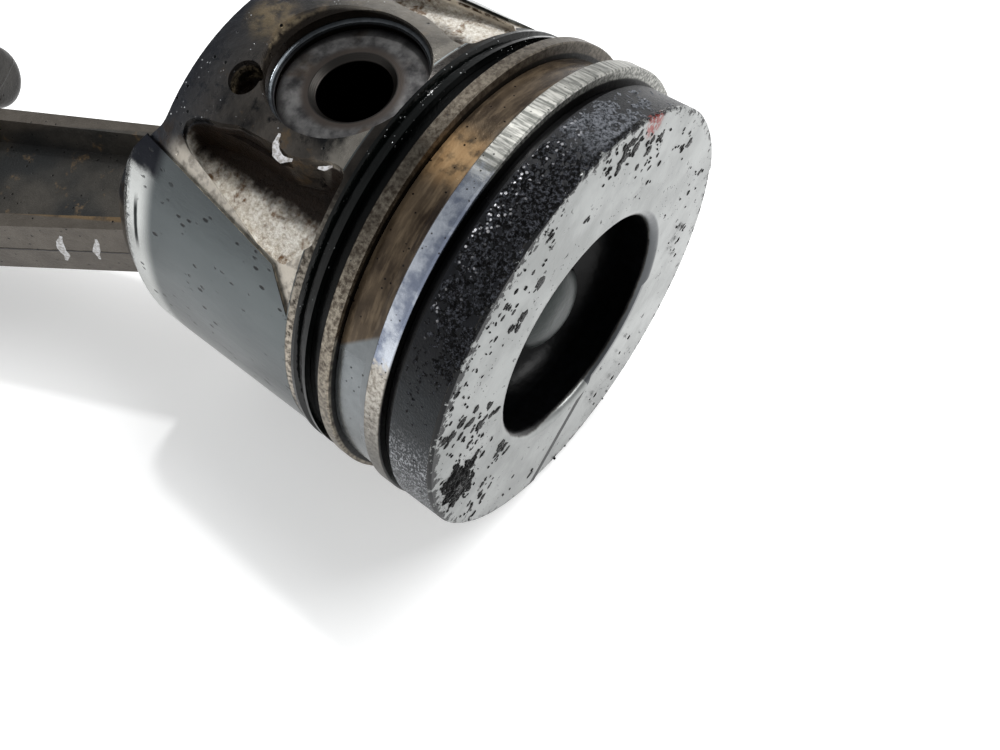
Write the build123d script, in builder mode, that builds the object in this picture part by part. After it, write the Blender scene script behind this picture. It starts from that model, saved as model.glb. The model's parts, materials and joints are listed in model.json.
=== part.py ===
from build123d import *

import os
from math import cos, radians, sin

# Diesel piston on its forged connecting rod, lying on a bench. Every piece is
# drawn in the engine frame (millimetres): origin at the gudgeon pin's centre,
# +Z up the cylinder to the crown, +Y along the pin, X the thrust direction.
# The rod group is drawn hanging straight down, then swung about the pin, and
# the whole assembly is laid on its side at the end.

# ---------------------------------------------------------------- dimensions
# Piston
CROWN_R = 42.6  # top land
SKIRT_R = 42.95  # skirt, for an 86 mm cylinder
CROWN_Z = 44.8  # compression height
SKIRT_END_Z = -31.9  # end of the two thrust lobes
BOSS_END_Z = -23.4  # end of the skirt under the pin bosses
LEAD_IN = 4.3  # height of the skirt's tapered end
LEAD_IN_R = 41.4
LAND_2_R = 42.1
LAND_3_R = 42.2
EDGE_R = 42.6  # narrow land under the oil ring
RELIEF_R = 42.35  # boss sides, set back from the skirt
RELIEF_END_W = 25.4  # half width of the relief at the skirt's end
RELIEF_SHOULDER_W = 30.6  # where its corners turn out towards the rings
RELIEF_SHOULDER_Z = 7.6
RELIEF_TOP_W = 35.1  # and at the oil ring
ARCH_W = 22.6  # half width of the skirt's end under the bosses
ARCH_CORNER_W = 29.0
ARCH_FOOT_W = 35.5
ARCH_CORNER = 5.0  # how far below the bosses the arch turns down

# Combustion bowl and valve relief, depths below the crown
BOWL_LIP_R = 24.4
BOWL_ROLL = 1.7  # radius of the bowl's rounded lip
BOWL_WIDE_R = 24.0
BOWL_WIDE = 8.5
BOWL_LOW_R = 16.0
BOWL_DEPTH = 16.5
DOME_FOOT_R = 10.9
DOME_FOOT = 12.4
DOME_SHOULDER_R = 8.4
DOME_SHOULDER = 7.6
DOME_TOP = 5.2
DOME_FLAT_R = 1.5
VALVE_RELIEF = 20.7  # distance of the milled relief's edge from the axis
VALVE_RELIEF_TURN = 31.8  # its direction, degrees from X
VALVE_RELIEF_DEPTH = 0.45

# Rings: depth below the crown, thickness, free radius, off-centre, gap angle
RING_WALL = 3.9
RING_GAP = 0.08  # side clearance of every ring in its groove
TOP_RING = dict(drop=10.6, height=3.5, radius=44.05, shift=1.1, gap_at=-65)
SECOND_RING = dict(drop=21.2, height=2.4, radius=44.4, shift=0.7, gap_at=-115)
OIL_RING = dict(drop=26.7, height=3.2, radius=43.5, shift=0.0, gap_at=-90)
GROOVE_R = 37.8
FREE_GAP = 8.0  # opening between a free ring's ends
EXPANDER_R = 1.0
CARRIER_R = 35.4
CARRIER_TOP = 8.7
CARRIER_BASE = 15.8
CARRIER_LIP_R = 41.4

# Gudgeon pin, circlips and pin bore
PIN_R = 13.5
PIN_HOLE_R = 6.5
PIN_HALF = 36.85
RUNNING_GAP = 0.04
BORE_MOUTH_R = 14.05
BORE_MOUTH = 1.2  # depth of the chamfer at the bore's mouth
CLIP_WIRE_R = 0.8
CLIP_RING_R = 13.7
CLIP_Y = 37.9
CLIP_OPEN = 50  # degrees left open between a circlip's ends
CLIP_OPEN_AT = 215  # middle of the opening, degrees about the pin from X
NOTCH_R = 3.0
NOTCH_X = -10.3
NOTCH_Z = -13.2
NOTCH_FLOOR_Y = 36.5

# Inside of the piston
CAVITY_R = 38.0
CAVITY_Y = 24.5
CAVITY_TOP = 21.6
CAVITY_TOP_R = 29.0
CAVITY_TOP_EDGE = 8.0  # width of the slope round the cavity's roof
CAVITY_SLOPE_Z = 15.6
CAVITY_NECK_R = 31.0
CAVITY_NECK_Z = 10.0
CAVITY_SHOULDER_Z = 2.0
BOSS_GAP = 14.4  # half the gap between the pin bosses
BOSS_R = 20.5
DRAIN_R = 1.25
DRAIN_START_R = 26.0
DRAIN_LENGTH = 14.0
DRAIN_ANGLES = (-30, 0, 30, 150, 180, 210)

# Cast pockets beside the pin bosses
POCKET_FLOOR_X = -22.0
POCKET_FLOOR_Y = 30.6
POCKET_TILT = 15  # slope of the pocket's floor towards the thrust side
POCKET_DRAFT = 4
POCKET_CORNER_R = 1.2
SHELF_Y = 35.8  # depth of the shelf along the pocket's upper wall

# Connecting rod, depths measured down from the pin's centre
ROD_LENGTH = 140.0
EYE_R = 19.3
EYE_HALF = 13.9
EYE_CHAMFER = 0.8
EYE_OIL_HOLE_R = 2.0
BUSH_R = 15.0
BUSH_SET_BACK = 0.2  # of the bush's edges from the eye's faces
BUSH_OIL_HOLE_R = 1.8
SHANK_HALF = 8.0
SHANK_START = 12.0
SHANK_START_W = 11.2
SHANK_END = 116.0
SHANK_END_W = 16.8
FLANGE = 3.3
WEB_HALF = 2.2
PANEL_START = 27.0  # the recessed panel between the flanges
PANEL_END = 104.0
PANEL_CORNER_R = 6.0
FLANGE_DRAFT = 2.5  # forging draft, degrees
PANEL_DRAFT = 15
BIG_END_HALF = 13.0
HOUSING_R = 25.9
HOUSING_OUT_R = 32.4
SHELL_WALL = 1.9
SHELL_HALF = 11.0
BOLT_X = 31.0
BOLT_R = 4.5
BOLT_HOLE_R = 4.6
BOLT_BOSS_R = 7.2
BOLT_BOSS_TOP = 105.0
BOLT_BOSS_ROUND = 3.0
BOLT_SHOULDER = 121.0  # where the boss runs into the full width
SHOULDER_SLOPE = 5.0
BOLT_SEAT = 157.0
BOLT_HOLE_TOP = 110.0
BOLT_HEAD_R = 7.5
BOLT_HEAD_H = 7.5
BOLT_HEAD_GAP = 0.4
BOLT_FLANGE_H = 1.4
BOLT_END_GAP = 2.0  # between a bolt's end and the bottom of its hole
CAP_PAD_W = 20.0
CAP_PAD_H = 5.0

# How the assembly lies: the rod is swung about the pin, and its weight rolls
# the piston until the big end, the skirt's end and the top ring all touch.
ROD_SWING = 28.2
ROLL = 13.75
CROWN_LIFT = 2.41

BIG_END_Z = -ROD_LENGTH
JOURNAL_R = HOUSING_R - SHELL_WALL
PANEL_START_W = SHANK_START_W - FLANGE + 0.8
PANEL_END_W = SHANK_END_W - FLANGE - 0.8
BOLT_PLACES = [(BOLT_X, 0), (-BOLT_X, 0)]


def top_of(ring):
    """Height of a ring's upper face."""
    return CROWN_Z - ring["drop"]


def base_of(ring):
    """Height of a ring's lower face."""
    return top_of(ring) - ring["height"]


SKIRT_TOP_Z = base_of(OIL_RING) - 2.2
EDGE_BASE_Z = base_of(OIL_RING) - 0.6


# -------------------------------------------------------------- piston body
# The inside: a round skirt narrowed to a box between the pocket walls, less
# the two pin bosses that reach in from the sides.
with BuildPart() as cavity:
    with BuildSketch(Plane.XZ):
        with BuildLine():
            Polyline(
                (0, CAVITY_TOP),
                (CAVITY_TOP_R - CAVITY_TOP_EDGE, CAVITY_TOP),
                (CAVITY_TOP_R, CAVITY_SLOPE_Z),
                (CAVITY_NECK_R, CAVITY_NECK_Z),
                (CAVITY_R, CAVITY_SHOULDER_Z),
                (CAVITY_R, SKIRT_END_Z - 1),
                (0, SKIRT_END_Z - 1),
                close=True,
            )
        make_face()
    revolve(axis=Axis.Z)
    with BuildSketch(Plane.XY.offset(SKIRT_END_Z - 1)):
        Rectangle(2 * CAVITY_R + 2, 2 * CAVITY_Y)
    extrude(amount=CAVITY_TOP - SKIRT_END_Z + 2, mode=Mode.INTERSECT)
    for side in (1, -1):
        with BuildSketch(Plane.XZ.offset(-side * BOSS_GAP)):
            Circle(BOSS_R)
            with Locations((0, BOSS_R)):
                Rectangle(2 * BOSS_R, 2 * BOSS_R)
        extrude(amount=-side * CAVITY_Y, mode=Mode.SUBTRACT)

# One cast pocket, a triangle that narrows towards the skirt's end, with a
# shallow shelf along its upper wall; mirrored to the other three places.
with BuildPart() as pocket:
    floor = Plane(
        origin=(POCKET_FLOOR_X, POCKET_FLOOR_Y, 0),
        x_dir=(cos(radians(POCKET_TILT)), sin(radians(POCKET_TILT)), 0),
        z_dir=(-sin(radians(POCKET_TILT)), cos(radians(POCKET_TILT)), 0),
    )
    with BuildSketch(Plane.XZ.offset(POCKET_FLOOR_X)):
        with BuildLine():
            Polyline(
                (-20.4, -18.4),
                (-18.7, -9.7),
                (-18.6, 0.0),
                (-17.4, 5.0),
                (-15.0, 12.2),
                (-25.5, 12.8),
                (-29.3, 9.0),
                (-28.6, 3.0),
                (-26.6, -3.1),
                (-24.8, -9.3),
                (-22.6, -17.6),
                close=True,
            )
        make_face()
        fillet(vertices(), radius=POCKET_CORNER_R)
    extrude(amount=POCKET_FLOOR_X - 3, taper=-POCKET_DRAFT)
    split(bisect_by=floor, keep=Keep.TOP)
with BuildPart() as shelf:
    with BuildSketch(Plane.XZ.offset(-SHELF_Y)):
        with BuildLine():
            Polyline(
                (-19.6, -17.0),
                (-17.0, -9.0),
                (-16.6, 0.5),
                (-17.6, 4.5),
                (-22.0, 2.0),
                (-22.5, -10.0),
                close=True,
            )
        make_face()
    extrude(amount=-10)

with BuildPart() as relief:
    with BuildSketch(Plane.XZ):
        with BuildLine():
            Polyline(
                (-RELIEF_END_W, BOSS_END_Z - 2),
                (RELIEF_END_W, BOSS_END_Z - 2),
                (RELIEF_SHOULDER_W, RELIEF_SHOULDER_Z),
                (RELIEF_TOP_W, SKIRT_TOP_Z),
                (-RELIEF_TOP_W, SKIRT_TOP_Z),
                (-RELIEF_SHOULDER_W, RELIEF_SHOULDER_Z),
                close=True,
            )
        make_face()
    extrude(amount=SKIRT_R + 1, both=True)
    with BuildSketch(Plane.XY.offset(SKIRT_END_Z)):
        Circle(RELIEF_R)
    extrude(amount=CROWN_Z - SKIRT_END_Z, mode=Mode.SUBTRACT)

with BuildPart() as piston_body:
    with BuildSketch(Plane.XZ):
        with BuildLine():
            Polyline(
                (0, CROWN_Z),
                (CROWN_R - 0.4, CROWN_Z),
                (CROWN_R, CROWN_Z - 0.4),
                (CROWN_R, CROWN_Z - CARRIER_TOP),
                (LAND_2_R, CROWN_Z - CARRIER_TOP),
                (LAND_2_R, top_of(SECOND_RING)),
                (LAND_3_R, top_of(SECOND_RING)),
                (LAND_3_R, top_of(OIL_RING)),
                (EDGE_R, top_of(OIL_RING)),
                (EDGE_R, EDGE_BASE_Z),
                (SKIRT_R, SKIRT_TOP_Z),
                (SKIRT_R, SKIRT_END_Z + LEAD_IN),
                (LEAD_IN_R, SKIRT_END_Z),
                (0, SKIRT_END_Z),
                close=True,
            )
        make_face()
    revolve(axis=Axis.Z)

    # Grooves of the second and oil rings, and the seat of the ring carrier
    for ring in (SECOND_RING, OIL_RING):
        with BuildSketch(Plane.XY.offset(base_of(ring) - RING_GAP)):
            Circle(CROWN_R + 5)
            Circle(GROOVE_R, mode=Mode.SUBTRACT)
        extrude(amount=ring["height"] + 2 * RING_GAP, mode=Mode.SUBTRACT)
    with BuildSketch(Plane.XY.offset(CROWN_Z - CARRIER_BASE)):
        Circle(CROWN_R + 5)
        Circle(CARRIER_R, mode=Mode.SUBTRACT)
    extrude(amount=CARRIER_BASE - CARRIER_TOP, mode=Mode.SUBTRACT)

    # Shallow valve relief milled across one side of the crown
    milled = Plane.XY.offset(CROWN_Z - VALVE_RELIEF_DEPTH).rotated((0, 0, VALVE_RELIEF_TURN))
    with BuildSketch(milled):
        with Locations((0, -VALVE_RELIEF - CROWN_R / 2)):
            Rectangle(3 * CROWN_R, CROWN_R)
    extrude(amount=2 * VALVE_RELIEF_DEPTH, mode=Mode.SUBTRACT)

    # Omega-shaped combustion bowl around a blunt dome
    with BuildSketch(Plane.XZ):
        with BuildLine():
            Polyline(
                (0, CROWN_Z - DOME_TOP),
                (0, CROWN_Z + 1),
                (BOWL_LIP_R, CROWN_Z + 1),
                (BOWL_LIP_R, CROWN_Z),
            )
            RadiusArc(
                (BOWL_LIP_R, CROWN_Z),
                (BOWL_LIP_R - BOWL_ROLL, CROWN_Z - BOWL_ROLL),
                -BOWL_ROLL,
            )
            Line(
                (BOWL_LIP_R - BOWL_ROLL, CROWN_Z - BOWL_ROLL),
                (BOWL_WIDE_R, CROWN_Z - BOWL_WIDE),
            )
            ThreePointArc(
                (BOWL_WIDE_R, CROWN_Z - BOWL_WIDE),
                (BOWL_WIDE_R - 2.1, CROWN_Z - BOWL_DEPTH + 2.2),
                (BOWL_LOW_R, CROWN_Z - BOWL_DEPTH),
            )
            ThreePointArc(
                (BOWL_LOW_R, CROWN_Z - BOWL_DEPTH),
                (BOWL_LOW_R - 3.1, CROWN_Z - BOWL_DEPTH + 1.3),
                (DOME_FOOT_R, CROWN_Z - DOME_FOOT),
            )
            Line((DOME_FOOT_R, CROWN_Z - DOME_FOOT), (DOME_SHOULDER_R, CROWN_Z - DOME_SHOULDER))
            ThreePointArc(
                (DOME_SHOULDER_R, CROWN_Z - DOME_SHOULDER),
                (DOME_SHOULDER_R - 2.8, CROWN_Z - DOME_TOP - 0.7),
                (DOME_FLAT_R, CROWN_Z - DOME_TOP),
            )
            Line((DOME_FLAT_R, CROWN_Z - DOME_TOP), (0, CROWN_Z - DOME_TOP))
        make_face()
    revolve(axis=Axis.Z, mode=Mode.SUBTRACT)

    # Boss sides set back from the skirt, wider towards the rings
    add(relief.part, mode=Mode.SUBTRACT)

    # The skirt ends higher under the bosses than on its thrust lobes
    with BuildSketch(Plane.XZ):
        with BuildLine():
            Polyline(
                (-ARCH_W, BOSS_END_Z),
                (ARCH_W, BOSS_END_Z),
                (ARCH_CORNER_W, BOSS_END_Z - ARCH_CORNER),
                (ARCH_FOOT_W, SKIRT_END_Z - 1),
                (-ARCH_FOOT_W, SKIRT_END_Z - 1),
                (-ARCH_CORNER_W, BOSS_END_Z - ARCH_CORNER),
                close=True,
            )
        make_face()
        fillet(vertices().group_by(Axis.Y)[-1], radius=4)
    extrude(amount=SKIRT_R + 1, both=True, mode=Mode.SUBTRACT)

    add(cavity.part, mode=Mode.SUBTRACT)
    for casting in (pocket.part, shelf.part):
        twin = mirror(casting, about=Plane.YZ, mode=Mode.PRIVATE)
        for half in (casting, twin):
            add(half, mode=Mode.SUBTRACT)
            add(mirror(half, about=Plane.XZ, mode=Mode.PRIVATE), mode=Mode.SUBTRACT)

    # Pin bore with chamfered mouths, circlip grooves and removal notches
    with BuildSketch(Plane.XZ):
        Circle(PIN_R + RUNNING_GAP)
    extrude(amount=SKIRT_R + 1, both=True, mode=Mode.SUBTRACT)
    for side in (1, -1):
        with BuildSketch(Plane.XY):
            with BuildLine():
                Polyline(
                    (0, side * (RELIEF_R + 1)),
                    (BORE_MOUTH_R + BORE_MOUTH, side * (RELIEF_R + 1)),
                    (BORE_MOUTH_R, side * (RELIEF_R - BORE_MOUTH)),
                    (PIN_R, side * (RELIEF_R - BORE_MOUTH - 1)),
                    (0, side * (RELIEF_R - BORE_MOUTH - 1)),
                    close=True,
                )
            make_face()
        revolve(axis=Axis.Y, mode=Mode.SUBTRACT)
        with BuildSketch(Plane.XZ.offset(-side * (CLIP_Y - CLIP_WIRE_R - 0.05))):
            Circle(CLIP_RING_R + CLIP_WIRE_R + 0.05)
        extrude(amount=-side * 2 * (CLIP_WIRE_R + 0.05), mode=Mode.SUBTRACT)
        with BuildSketch(Plane.XZ.offset(-side * NOTCH_FLOOR_Y)):
            with Locations((NOTCH_X, NOTCH_Z)):
                Circle(NOTCH_R)
        extrude(amount=-side * (SKIRT_R - NOTCH_FLOOR_Y + 1), mode=Mode.SUBTRACT)

    # Oil drains from the oil groove to the inside
    for angle in DRAIN_ANGLES:
        drain = Plane.XY.offset(top_of(OIL_RING) - OIL_RING["height"] / 2)
        outward = Vector(cos(radians(angle)), sin(radians(angle)), 0)
        with BuildSketch(Plane(drain.origin + outward * DRAIN_START_R, z_dir=outward)):
            Circle(DRAIN_R)
        extrude(amount=DRAIN_LENGTH, mode=Mode.SUBTRACT)

# ------------------------------------------------------------- ring carrier
with BuildPart() as ring_carrier:
    with BuildSketch(Plane.XZ):
        with BuildLine():
            Polyline(
                (CARRIER_R, CROWN_Z - CARRIER_BASE),
                (LAND_2_R, CROWN_Z - CARRIER_BASE),
                (LAND_2_R, base_of(TOP_RING) - RING_GAP),
                (GROOVE_R, base_of(TOP_RING) - RING_GAP),
                (GROOVE_R, top_of(TOP_RING) + RING_GAP),
                (CARRIER_LIP_R, top_of(TOP_RING) + RING_GAP),
                (CARRIER_LIP_R, CROWN_Z - CARRIER_TOP),
                (CARRIER_R, CROWN_Z - CARRIER_TOP),
                close=True,
            )
        make_face()
    revolve(axis=Axis.Z)


# -------------------------------------------------------------- piston rings
def free_gap(ring):
    """Sketch the opening between a free ring's ends, at the ring's angle."""
    with BuildSketch(Plane.XY.offset(base_of(ring) - 1)) as opening:
        with Locations((ring["shift"], 0)):
            with PolarLocations(ring["radius"] - RING_WALL / 2, 1, start_angle=ring["gap_at"]):
                Rectangle(2 * RING_WALL, FREE_GAP)
    return opening.sketch


def plain_ring(ring, edge):
    """A square-section compression ring in its free state."""
    with BuildPart() as made:
        with BuildSketch(Plane.XY.offset(base_of(ring))):
            with Locations((ring["shift"], 0)):
                Circle(ring["radius"])
                Circle(ring["radius"] - RING_WALL, mode=Mode.SUBTRACT)
        extrude(amount=ring["height"])
        rim = made.edges().filter_by(GeomType.CIRCLE).group_by(SortBy.RADIUS)[-1]
        chamfer(rim, length=edge)
        extrude(free_gap(ring), amount=ring["height"] + 2, mode=Mode.SUBTRACT)
    return made


top_compression_ring = plain_ring(TOP_RING, 0.3)
second_compression_ring = plain_ring(SECOND_RING, 0.2)

# The oil ring has two rails outside and a half-round seat for its expander
OIL_MID = (top_of(OIL_RING) + base_of(OIL_RING)) / 2
OIL_BACK_R = OIL_RING["radius"] - RING_WALL + 0.5
with BuildPart() as oil_control_ring:
    with BuildSketch(Plane.XZ):
        with BuildLine():
            Polyline(
                (OIL_BACK_R, base_of(OIL_RING)),
                (OIL_RING["radius"], base_of(OIL_RING)),
                (OIL_RING["radius"], base_of(OIL_RING) + 0.6),
                (OIL_RING["radius"] - 0.9, OIL_MID - 0.5),
                (OIL_RING["radius"] - 0.9, OIL_MID + 0.5),
                (OIL_RING["radius"], top_of(OIL_RING) - 0.6),
                (OIL_RING["radius"], top_of(OIL_RING)),
                (OIL_BACK_R, top_of(OIL_RING)),
                close=True,
            )
        make_face()
        with Locations((OIL_BACK_R, OIL_MID)):
            Circle(EXPANDER_R + 0.05, mode=Mode.SUBTRACT)
    revolve(axis=Axis.Z)
    extrude(free_gap(OIL_RING), amount=OIL_RING["height"] + 2, mode=Mode.SUBTRACT)

with BuildPart() as oil_ring_expander:
    with BuildSketch(Plane.XZ):
        with Locations((OIL_BACK_R, OIL_MID)):
            Circle(EXPANDER_R)
    revolve(axis=Axis.Z)

# -------------------------------------------------- gudgeon pin and circlips
with BuildPart() as gudgeon_pin:
    with BuildSketch(Plane.XZ):
        Circle(PIN_R)
        Circle(PIN_HOLE_R, mode=Mode.SUBTRACT)
    extrude(amount=PIN_HALF, both=True)
    ends = gudgeon_pin.edges().filter_by(GeomType.CIRCLE)
    chamfer(ends.group_by(SortBy.RADIUS)[-1], length=0.6)
    chamfer(ends.group_by(SortBy.RADIUS)[0], length=0.9)


def circlip(side):
    """A round-wire circlip in its groove, open towards the near thrust side and the crown."""
    with BuildPart() as wire:
        with BuildSketch(Plane.XY):
            with Locations((CLIP_RING_R, side * CLIP_Y)):
                Circle(CLIP_WIRE_R)
        revolve(axis=Axis.Y, revolution_arc=360 - CLIP_OPEN)
    with BuildPart() as clip:
        add(wire.part, rotation=(0, CLIP_OPEN_AT + CLIP_OPEN / 2, 0))
    return clip


front_circlip = circlip(1)
rear_circlip = circlip(-1)

# ------------------------------------------------------------ connecting rod
with BuildPart() as connecting_rod:
    # Tapered shank, drawn once on the parting plane and drafted both ways
    for direction in (1, -1):
        with BuildSketch(Plane.XZ):
            with BuildLine():
                Polyline(
                    (-SHANK_START_W, -SHANK_START),
                    (SHANK_START_W, -SHANK_START),
                    (SHANK_END_W, -SHANK_END),
                    (-SHANK_END_W, -SHANK_END),
                    close=True,
                )
            make_face()
        extrude(amount=direction * SHANK_HALF, taper=FLANGE_DRAFT)
    # I-section: a drafted recess in each face leaves the web and two flanges
    for side in (1, -1):
        with BuildSketch(Plane.XZ.offset(-side * SHANK_HALF)):
            with BuildLine():
                Polyline(
                    (-PANEL_START_W, -PANEL_START),
                    (PANEL_START_W, -PANEL_START),
                    (PANEL_END_W, -PANEL_END),
                    (-PANEL_END_W, -PANEL_END),
                    close=True,
                )
            make_face()
            fillet(vertices(), radius=PANEL_CORNER_R)
        extrude(amount=side * (SHANK_HALF - WEB_HALF), taper=PANEL_DRAFT, mode=Mode.SUBTRACT)
    # Small-end eye
    with BuildSketch(Plane.XZ):
        Circle(EYE_R)
    extrude(amount=EYE_HALF, both=True)
    eye_rims = edges().filter_by(GeomType.CIRCLE).filter_by(lambda rim: abs(rim.radius - EYE_R) < 0.01)
    chamfer(eye_rims.filter_by(lambda rim: abs(abs(rim.center().Y) - EYE_HALF) < 0.01), EYE_CHAMFER)
    # Round bolt bosses, then the upper half of the big end
    with BuildSketch(Plane.XY.offset(-BOLT_BOSS_TOP)):
        with Locations(*BOLT_PLACES):
            Circle(BOLT_BOSS_R)
    extrude(amount=BIG_END_Z + BOLT_BOSS_TOP)
    boss_tops = edges().filter_by(GeomType.CIRCLE).filter_by(
        lambda rim: abs(rim.center().Z + BOLT_BOSS_TOP) < 0.01
    )
    fillet(boss_tops, radius=BOLT_BOSS_ROUND)
    with BuildSketch(Plane.XZ):
        with Locations((0, BIG_END_Z)):
            Circle(HOUSING_OUT_R)
        for x in (BOLT_X, -BOLT_X):
            with BuildLine():
                Polyline(
                    (x - BOLT_BOSS_R, BIG_END_Z),
                    (x - BOLT_BOSS_R, -BOLT_SHOULDER),
                    (x + BOLT_BOSS_R - SHOULDER_SLOPE, -BOLT_SHOULDER),
                    (x + BOLT_BOSS_R, -BOLT_SHOULDER - SHOULDER_SLOPE),
                    (x + BOLT_BOSS_R, BIG_END_Z),
                    close=True,
                )
            make_face()
    extrude(amount=BIG_END_HALF, both=True)
    split(bisect_by=Plane.XY.offset(BIG_END_Z), keep=Keep.TOP)
    # Bores, bolt holes and the oil hole through the eye
    with BuildSketch(Plane.XZ):
        Circle(BUSH_R)
        with Locations((0, BIG_END_Z)):
            Circle(HOUSING_R)
    extrude(amount=EYE_HALF + 1, both=True, mode=Mode.SUBTRACT)
    with BuildSketch(Plane.XY.offset(BIG_END_Z)):
        with Locations(*BOLT_PLACES):
            Circle(BOLT_HOLE_R)
    extrude(amount=ROD_LENGTH - BOLT_HOLE_TOP, mode=Mode.SUBTRACT)
    with BuildSketch(Plane.XY):
        Circle(EYE_OIL_HOLE_R)
    extrude(amount=EYE_R + 1, mode=Mode.SUBTRACT)

with BuildPart() as small_end_bush:
    with BuildSketch(Plane.XZ):
        Circle(BUSH_R)
        Circle(PIN_R + RUNNING_GAP, mode=Mode.SUBTRACT)
    extrude(amount=EYE_HALF - BUSH_SET_BACK, both=True)
    with BuildSketch(Plane.XY):
        Circle(BUSH_OIL_HOLE_R)
    extrude(amount=EYE_R, mode=Mode.SUBTRACT)

with BuildPart() as big_end_cap:
    with BuildSketch(Plane.XZ):
        with Locations((0, BIG_END_Z)):
            Circle(HOUSING_OUT_R)
        with Locations((0, BIG_END_Z - HOUSING_OUT_R)):
            Rectangle(CAP_PAD_W, CAP_PAD_H)
        for x in (BOLT_X, -BOLT_X):
            with Locations((x, -(ROD_LENGTH + BOLT_SEAT) / 2)):
                Rectangle(2 * BOLT_BOSS_R, BOLT_SEAT - ROD_LENGTH)
    extrude(amount=BIG_END_HALF, both=True)
    split(bisect_by=Plane.XY.offset(BIG_END_Z), keep=Keep.BOTTOM)
    with BuildSketch(Plane.XZ):
        with Locations((0, BIG_END_Z)):
            Circle(HOUSING_R)
    extrude(amount=EYE_HALF + 1, both=True, mode=Mode.SUBTRACT)
    # Clear the bolts and their heads
    with BuildSketch(Plane.XY.offset(BIG_END_Z)):
        with Locations(*BOLT_PLACES):
            Circle(BOLT_HOLE_R)
    extrude(amount=-ROD_LENGTH, mode=Mode.SUBTRACT)
    with BuildSketch(Plane.XY.offset(-BOLT_SEAT)):
        with Locations(*BOLT_PLACES):
            Circle(BOLT_HEAD_R + BOLT_HEAD_GAP)
    extrude(amount=-ROD_LENGTH, mode=Mode.SUBTRACT)


def bearing_shell(keep):
    """Half of the big-end bearing."""
    with BuildPart() as made:
        with BuildSketch(Plane.XZ):
            with Locations((0, BIG_END_Z)):
                Circle(HOUSING_R)
                Circle(JOURNAL_R, mode=Mode.SUBTRACT)
        extrude(amount=SHELL_HALF, both=True)
        split(bisect_by=Plane.XY.offset(BIG_END_Z), keep=keep)
    return made


upper_bearing_shell = bearing_shell(Keep.TOP)
lower_bearing_shell = bearing_shell(Keep.BOTTOM)

with BuildPart() as big_end_bolts:
    with BuildSketch(Plane.XY.offset(-BOLT_SEAT)):
        with Locations(*BOLT_PLACES):
            Circle(BOLT_HEAD_R)
    extrude(amount=-BOLT_FLANGE_H)
    with BuildSketch(Plane.XY.offset(-BOLT_SEAT - BOLT_FLANGE_H)):
        with Locations(*BOLT_PLACES):
            RegularPolygon(radius=BOLT_HEAD_R, side_count=6)
    extrude(amount=BOLT_FLANGE_H - BOLT_HEAD_H)
    with BuildSketch(Plane.XY.offset(-BOLT_SEAT)):
        with Locations(*BOLT_PLACES):
            Circle(BOLT_R)
    extrude(amount=BOLT_SEAT - BOLT_HOLE_TOP - BOLT_END_GAP)

# ----------------------------------------------------- laying it on the bench
# The upward direction of the bench, seen from the engine frame.
bench_up = Vector(
    sin(radians(ROLL)) * cos(radians(CROWN_LIFT)),
    cos(radians(ROLL)) * cos(radians(CROWN_LIFT)),
    sin(radians(CROWN_LIFT)),
)
towards_crown = Vector(0, 0, 1) - bench_up * bench_up.Z
bench = Plane(origin=(0, 0, 0), x_dir=towards_crown, z_dir=bench_up)
swung = Rotation(0, ROD_SWING, 0)

piston_group = dict(
    piston_body=piston_body.part,
    ring_carrier=ring_carrier.part,
    top_compression_ring=top_compression_ring.part,
    second_compression_ring=second_compression_ring.part,
    oil_control_ring=oil_control_ring.part,
    oil_ring_expander=oil_ring_expander.part,
    gudgeon_pin=gudgeon_pin.part,
    front_circlip=front_circlip.part,
    rear_circlip=rear_circlip.part,
)
rod_group = dict(
    connecting_rod=connecting_rod.part,
    small_end_bush=small_end_bush.part,
    big_end_cap=big_end_cap.part,
    upper_bearing_shell=upper_bearing_shell.part,
    lower_bearing_shell=lower_bearing_shell.part,
    big_end_bolts=big_end_bolts.part,
)
laid = {name: bench.to_local_coords(piece) for name, piece in piston_group.items()}
laid.update({name: bench.to_local_coords(swung * piece) for name, piece in rod_group.items()})
boxes = [piece.bounding_box() for piece in laid.values()]
low = Vector(*(min(tuple(box.min)[i] for box in boxes) for i in range(3)))
high = Vector(*(max(tuple(box.max)[i] for box in boxes) for i in range(3)))
middle = (low + high) / 2
stand = Pos(-middle.X, -middle.Y, -low.Z)

os.makedirs("parts", exist_ok=True)
for name, piece in laid.items():
    placed = stand * piece
    placed.label = name
    export_step(placed, f"parts/{name}.step")

# Places the record needs, in the row's frame
for place, at in dict(
    pin_centre=Vector(0, 0, 0),
    crown_centre=Vector(0, 0, CROWN_Z),
    top_ring=Vector(TOP_RING["shift"], 0, base_of(TOP_RING)),
    second_ring=Vector(SECOND_RING["shift"], 0, base_of(SECOND_RING)),
    big_end=Vector(sin(radians(ROD_SWING)), 0, cos(radians(ROD_SWING))) * BIG_END_Z,
).items():
    print(place, tuple(bench.to_local_coords(at) + stand.position))
for line, along in dict(pin_axis=(0, 1, 0), cylinder_axis=(0, 0, 1)).items():
    direction = bench.to_local_coords(Vector(along)) - bench.to_local_coords(Vector(0, 0, 0))
    print(line, tuple(direction))
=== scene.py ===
import json
import math
import random

import bpy
from mathutils import Matrix, Vector, noise


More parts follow.
